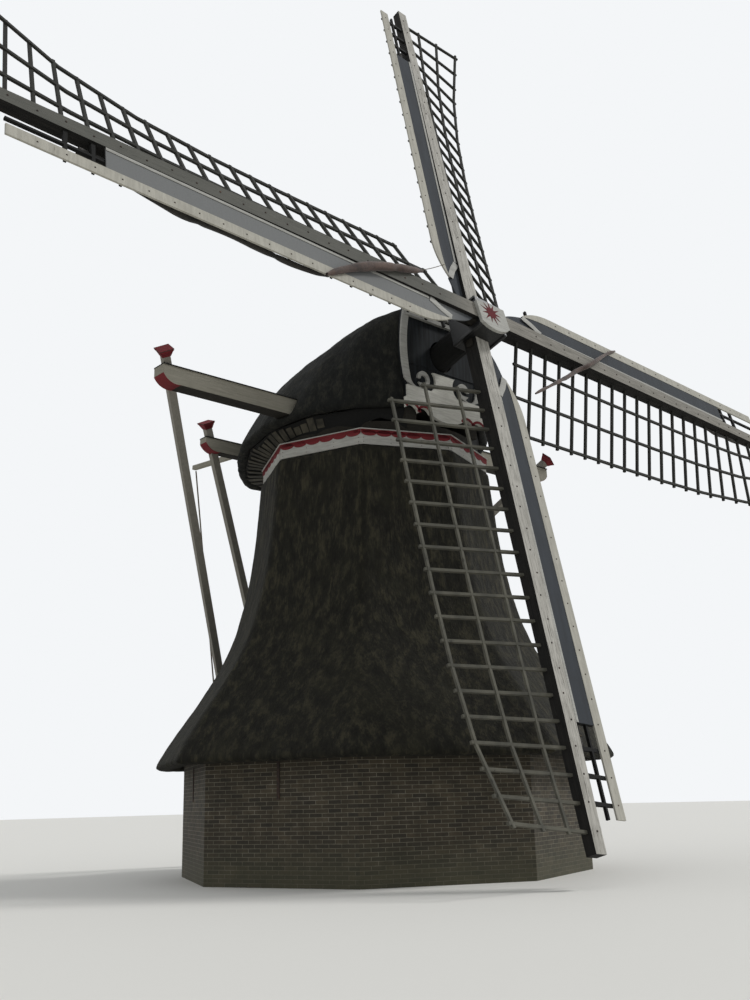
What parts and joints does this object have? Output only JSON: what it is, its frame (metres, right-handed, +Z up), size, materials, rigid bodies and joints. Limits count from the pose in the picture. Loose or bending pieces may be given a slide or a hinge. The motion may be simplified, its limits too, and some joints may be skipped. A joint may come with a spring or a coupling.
{
  "type": "thatched smock windmill",
  "caption": "Eight-sided thatched smock mill on a low brick base, with a turning boat-shaped cap, four lattice sails, tail pole and braces.",
  "frame": {"origin": "on the tower's upright axis at ground level, on the brick wall's underside", "axes": "+Z up; at rest the sails face -Y and +X is to the right as seen from the front"},
  "size_m": [18.6734, 10.771, 18.3292],
  "materials": {
    "thatch": "weathered reed",
    "brick": "old brick with lime mortar",
    "dark_timber": "tarred timber",
    "dark_paint": "weathered dark paint on timber",
    "grey_paint": "weathered paint on timber",
    "white_paint": "weathered white paint on timber",
    "red_paint": "weathered red paint on timber",
    "cast_iron": "painted black",
    "wrought_iron": "forged, rusty",
    "rope": "laid rope",
    "sailcloth": "canvas"
  },
  "bodies": {
    "tower": {"brick_wall": "brick", "thatch_side_1": "thatch", "thatch_side_2": "thatch", "thatch_side_3": "thatch", "thatch_side_4": "thatch", "thatch_side_5": "thatch", "thatch_side_6": "thatch", "thatch_side_7": "thatch", "thatch_side_8": "thatch", "curb_beam": "dark_timber", "band_boards": "white_paint", "curb_ring": "dark_timber", "wall_anchors": "wrought_iron"},
    "cap": {"cap_ring": "dark_timber", "sheers": "dark_timber", "wind_beam": "dark_timber", "tail_beam": "dark_timber", "rear_beam": "dark_timber", "cap_thatch_left": "thatch", "cap_thatch_right": "thatch", "front_gable": "dark_paint", "gable_moulding": "white_paint", "gable_borders": "white_paint", "beard": "white_paint", "tail_pole": "grey_paint", "long_braces": "grey_paint", "short_braces": "grey_paint", "brace_caps": "red_paint", "long_sprout": "grey_paint", "short_sprout": "grey_paint", "brake_lever": "grey_paint", "brake_rope": "rope", "soffit_boards": "dark_timber"},
    "sails": {"windshaft": "dark_timber", "inner_stock": "white_paint", "outer_stock": "white_paint", "poll_end": "cast_iron", "star_board": "white_paint", "wind_boards": "dark_paint", "leading_edges": "white_paint", "leading_pegs": "dark_paint", "lower_lattice": "dark_paint", "right_lattice": "dark_paint", "upper_lattice": "dark_paint", "left_lattice": "dark_paint", "lower_cloth": "sailcloth", "right_cloth": "sailcloth", "upper_cloth": "sailcloth", "left_cloth": "sailcloth"}
  },
  "joints": [
    {"name": "cap_winding", "type": "hinge", "parent": "tower", "child": "cap", "pos_m": [0, 0, 7.5803], "axis": [0, 0, 1], "continuous": true},
    {"name": "windshaft_spin", "type": "hinge", "parent": "cap", "child": "sails", "pos_m": [0, -3.083, 9.4443], "axis": [0, -0.9603, 0.279], "continuous": true}
  ]
}
